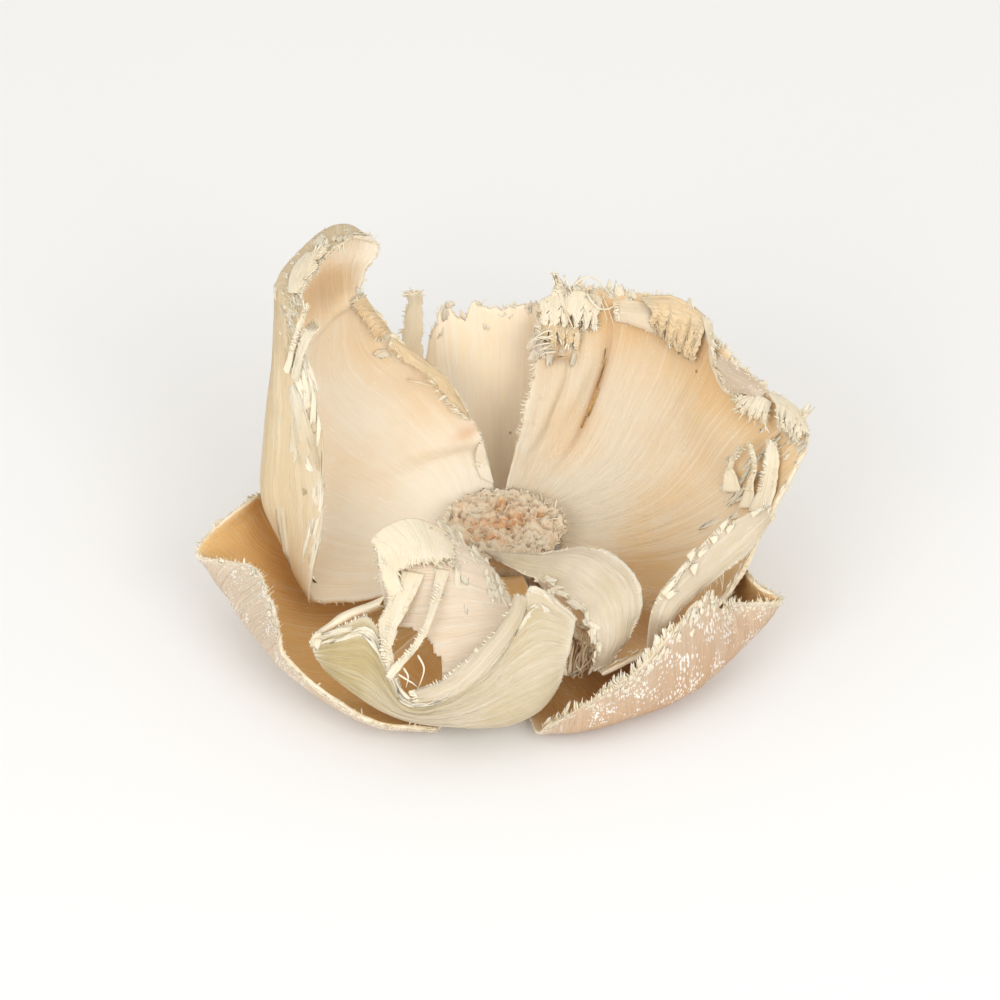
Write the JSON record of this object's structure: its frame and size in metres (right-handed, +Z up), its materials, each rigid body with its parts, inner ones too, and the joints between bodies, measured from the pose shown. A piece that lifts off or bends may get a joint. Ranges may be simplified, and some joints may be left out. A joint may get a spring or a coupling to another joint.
{
  "type": "palm cap",
  "caption": "Dried, bleached palm fruit calyx: a woody receptacle with a spongy scar in a ragged, open cup of thick, torn, leathery tepals.",
  "frame": {"origin": "middle of the flat stalk break under the receptacle, on the resting plane, straight below the scar", "axes": "+Z up through the scar, +X across the widest reach of the tepals to the broad inner tepal, +Y to the back, away from the torn front tepal"},
  "size_m": [0.0998, 0.0755, 0.0543],
  "materials": {
    "receptacle": "spongy, pitted, unfinished cork-like fibre",
    "outer_tepals": "dry, matt, leathery plant fibre, peach with pale flecks",
    "inner_tepals": "dry, satin, leathery plant fibre, bleached cream",
    "torn_tepal": "dry, torn, fibrous, straw coloured"
  },
  "bodies": {
    "root": {"receptacle": "receptacle", "tepal_outer_back": "outer_tepals", "tepal_outer_left": "outer_tepals", "tepal_outer_right": "outer_tepals", "tepal_inner_left": "inner_tepals", "tepal_inner_right": "inner_tepals", "tepal_inner_front": "torn_tepal"}
  },
  "joints": []
}
